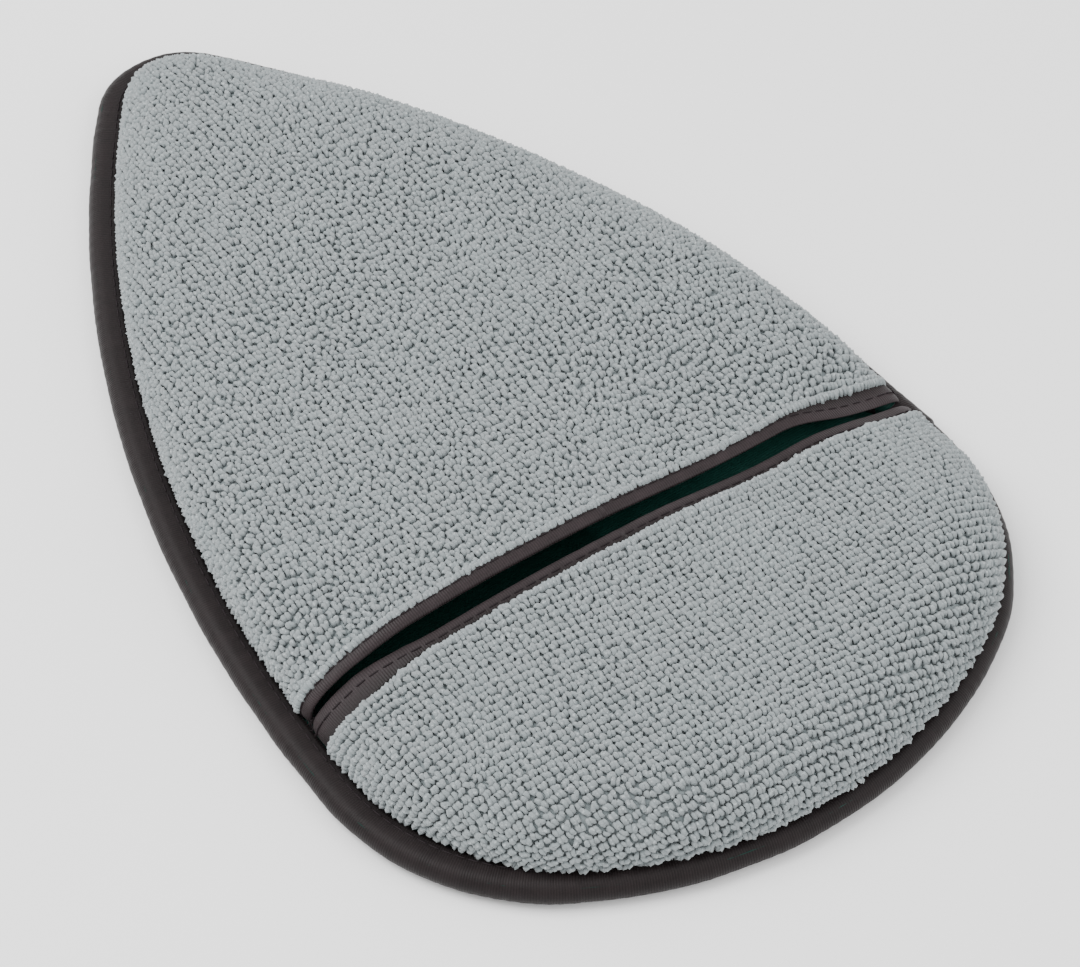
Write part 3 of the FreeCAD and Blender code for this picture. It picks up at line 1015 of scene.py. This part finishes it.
# %% Pile of each half
RIB_ANGLE = {"toe": math.radians(2.5), "heel": math.radians(3)}
UNEVEN = {"toe": (0.07 * MM, 0.32 * MM), "heel": (0.06 * MM, 0.16 * MM)}
LEAN = {"toe": 0.11, "heel": 0.09}  # the toe's loops are brushed about more
FIRST_ROW_PITCH = 0.9 * MM
FIRST_ROW_IN = 0.35 * MM
SEAM_MARGIN = 0.4 * MM  # the outermost strands stand this far in from the cloth's edge
RIM_LOOPS = 1.3  # loops at the seam have nothing beside them and spread further
ON_TAPE = tape_high[2] + 0.05 * MM


def first_row(panel):
    """Flat places of an even row of strands that follows the edge of the slot's tape."""
    across = np.arange(-HALF_WIDTH, HALF_WIDTH, FIRST_ROW_PITCH)
    return np.stack([across, panel.edge + panel.inwards * (panel.bare_at(across) + FIRST_ROW_IN)], -1)


for panel in PANELS:
    flat = loop_grid(RIB_ANGLE[panel.name], UNEVEN[panel.name], seed=panel.seed)
    flat = np.concatenate([flat, first_row(panel)])
    inset = inset_of(flat[:, 0], flat[:, 1])[0]
    from_edge = panel.inwards * (flat[:, 1] - panel.edge)
    flat = flat[(inset > panel.cloth_inset + SEAM_MARGIN) & (from_edge > panel.bare_at(flat[:, 0]))]
    place, outward = panel.wrap(flat[:, 0], flat[:, 1], PILE_STAND)
    past = FLAT_INSET - inset_of(flat[:, 0], flat[:, 1])[0]
    at_rim = ease((past - QUARTER - panel.wall + 2.5 * MM) / (2 * MM))
    for index, (side, sign) in enumerate(SIDES.items()):
        mine = flat[:, 0] * sign > 0
        long = 1 + (RIM_LOOPS - 1) * at_rim[mine]
        name = f"{panel.name}_pile_{side}"
        lean = LEAN[panel.name]
        for pile in grow_loops(name, place[mine], outward[mine], panel.seed + index, ON_TAPE, long, lean):
            panel.attach(pile, sign, f"{panel.name}_pile_cloth", "pile_cloth")

# %% [markdown]
# ## Overlocking at the slot's left end
# Where both slot tapes run out at the left side seam, their raw ends are caught in a small patch of
# overlocking. It is a tangle of short bent threads, so it is one thin arch copied many times, turned
# every way within the space that the frame gives it.

# %% A patch of bent threads
PATCH_THREADS = 170
PATCH_GROW = np.array([1.2, 1.0, 0.6]) * MM  # the tangle is a little larger than the solid it stands for
BENT_THREAD = arch(0.12, steps=7, sides=4)

patch_low, patch_high = (np.array(corner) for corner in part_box("slot_end_overlock"))
draw = np.random.default_rng(71)
patch_place = draw.uniform(patch_low - PATCH_GROW * [0, 1, 0], patch_high + PATCH_GROW, (PATCH_THREADS, 3))
patch_up = draw.normal(0, 0.5, (PATCH_THREADS, 3)) + [0, 0, 1]
patch_size = draw.uniform(0.45, 1.0, (PATCH_THREADS, 1)) * np.ones((1, 3)) * MM
patch_axes = frames(patch_up, draw.normal(0, 1, (PATCH_THREADS, 3)))
overlock = piece("overlock_patch", scatter(BENT_THREAD, patch_place, patch_axes, patch_size), THREAD)
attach(overlock, "pad")
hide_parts("slot_end_overlock")

# %% [markdown]
# ## Floor, light and camera
# A pale floor and large soft lights suit cloth, because hard light would turn every loop into a dark dot.
# The camera stands well back with a long lens, so that the far end isn't made small.

# %% Floor and light
FLOOR_SIZE = 6.0


def floor_finish():
    finish = Finish("pale floor")
    shade = finish.noise(0.4, detail=2)
    finish.set(Base_Color=finish.mix(shade, (0.93, 0.93, 0.93, 1), (0.96, 0.96, 0.96, 1)), Roughness=0.9)
    return finish.material


bpy.ops.mesh.primitive_plane_add(size=FLOOR_SIZE)
floor = bpy.context.object
floor.name = "floor"
floor.data.materials.append(floor_finish())

world = bpy.context.scene.world or bpy.data.worlds.new("studio")
bpy.context.scene.world = world
world.use_nodes = True
world.node_tree.nodes["Background"].inputs["Color"].default_value = (1, 1, 1, 1)
world.node_tree.nodes["Background"].inputs["Strength"].default_value = 1.3


def soft_light(name, place, size, power):
    """A square lamp that faces the mitt."""
    lamp = bpy.data.lights.new(name, "AREA")
    lamp.size = size
    lamp.energy = power
    holder = bpy.data.objects.new(name, lamp)
    holder.location = place
    holder.rotation_euler = (-Vector(place)).to_track_quat("-Z", "Y").to_euler()
    bpy.context.scene.collection.objects.link(holder)


soft_light("key", (-0.5, 0.35, 0.9), 0.7, 14)
soft_light("fill", (0.6, -0.8, 0.8), 1.0, 6.5)
print("studio ready")

# %% Camera
SENSOR_WIDTH = 36.0
FOCAL_PIXELS = 4000.0
IMAGE_WIDTH = 1080.0
AZIMUTH = math.radians(-36.155)
ELEVATION = math.radians(50.048)
ROLL = math.radians(0.634)
DISTANCE = 827.9 * MM
AIM = Vector((4.07 * MM, -22.65 * MM, 0))

lens = bpy.data.cameras.new("camera")
lens.sensor_width = SENSOR_WIDTH
lens.lens = SENSOR_WIDTH * FOCAL_PIXELS / IMAGE_WIDTH
lens.clip_start, lens.clip_end = 0.01, 20.0
camera = bpy.data.objects.new("camera", lens)
bpy.context.scene.collection.objects.link(camera)
level = math.cos(ELEVATION)
back = Vector((math.sin(AZIMUTH) * level, -math.cos(AZIMUTH) * level, math.sin(ELEVATION)))
camera.location = AIM + back * DISTANCE
camera.rotation_mode = "QUATERNION"
camera.rotation_quaternion = (-back).to_track_quat("-Z", "Y") @ Quaternion((0, 0, 1), ROLL)
bpy.context.scene.camera = camera
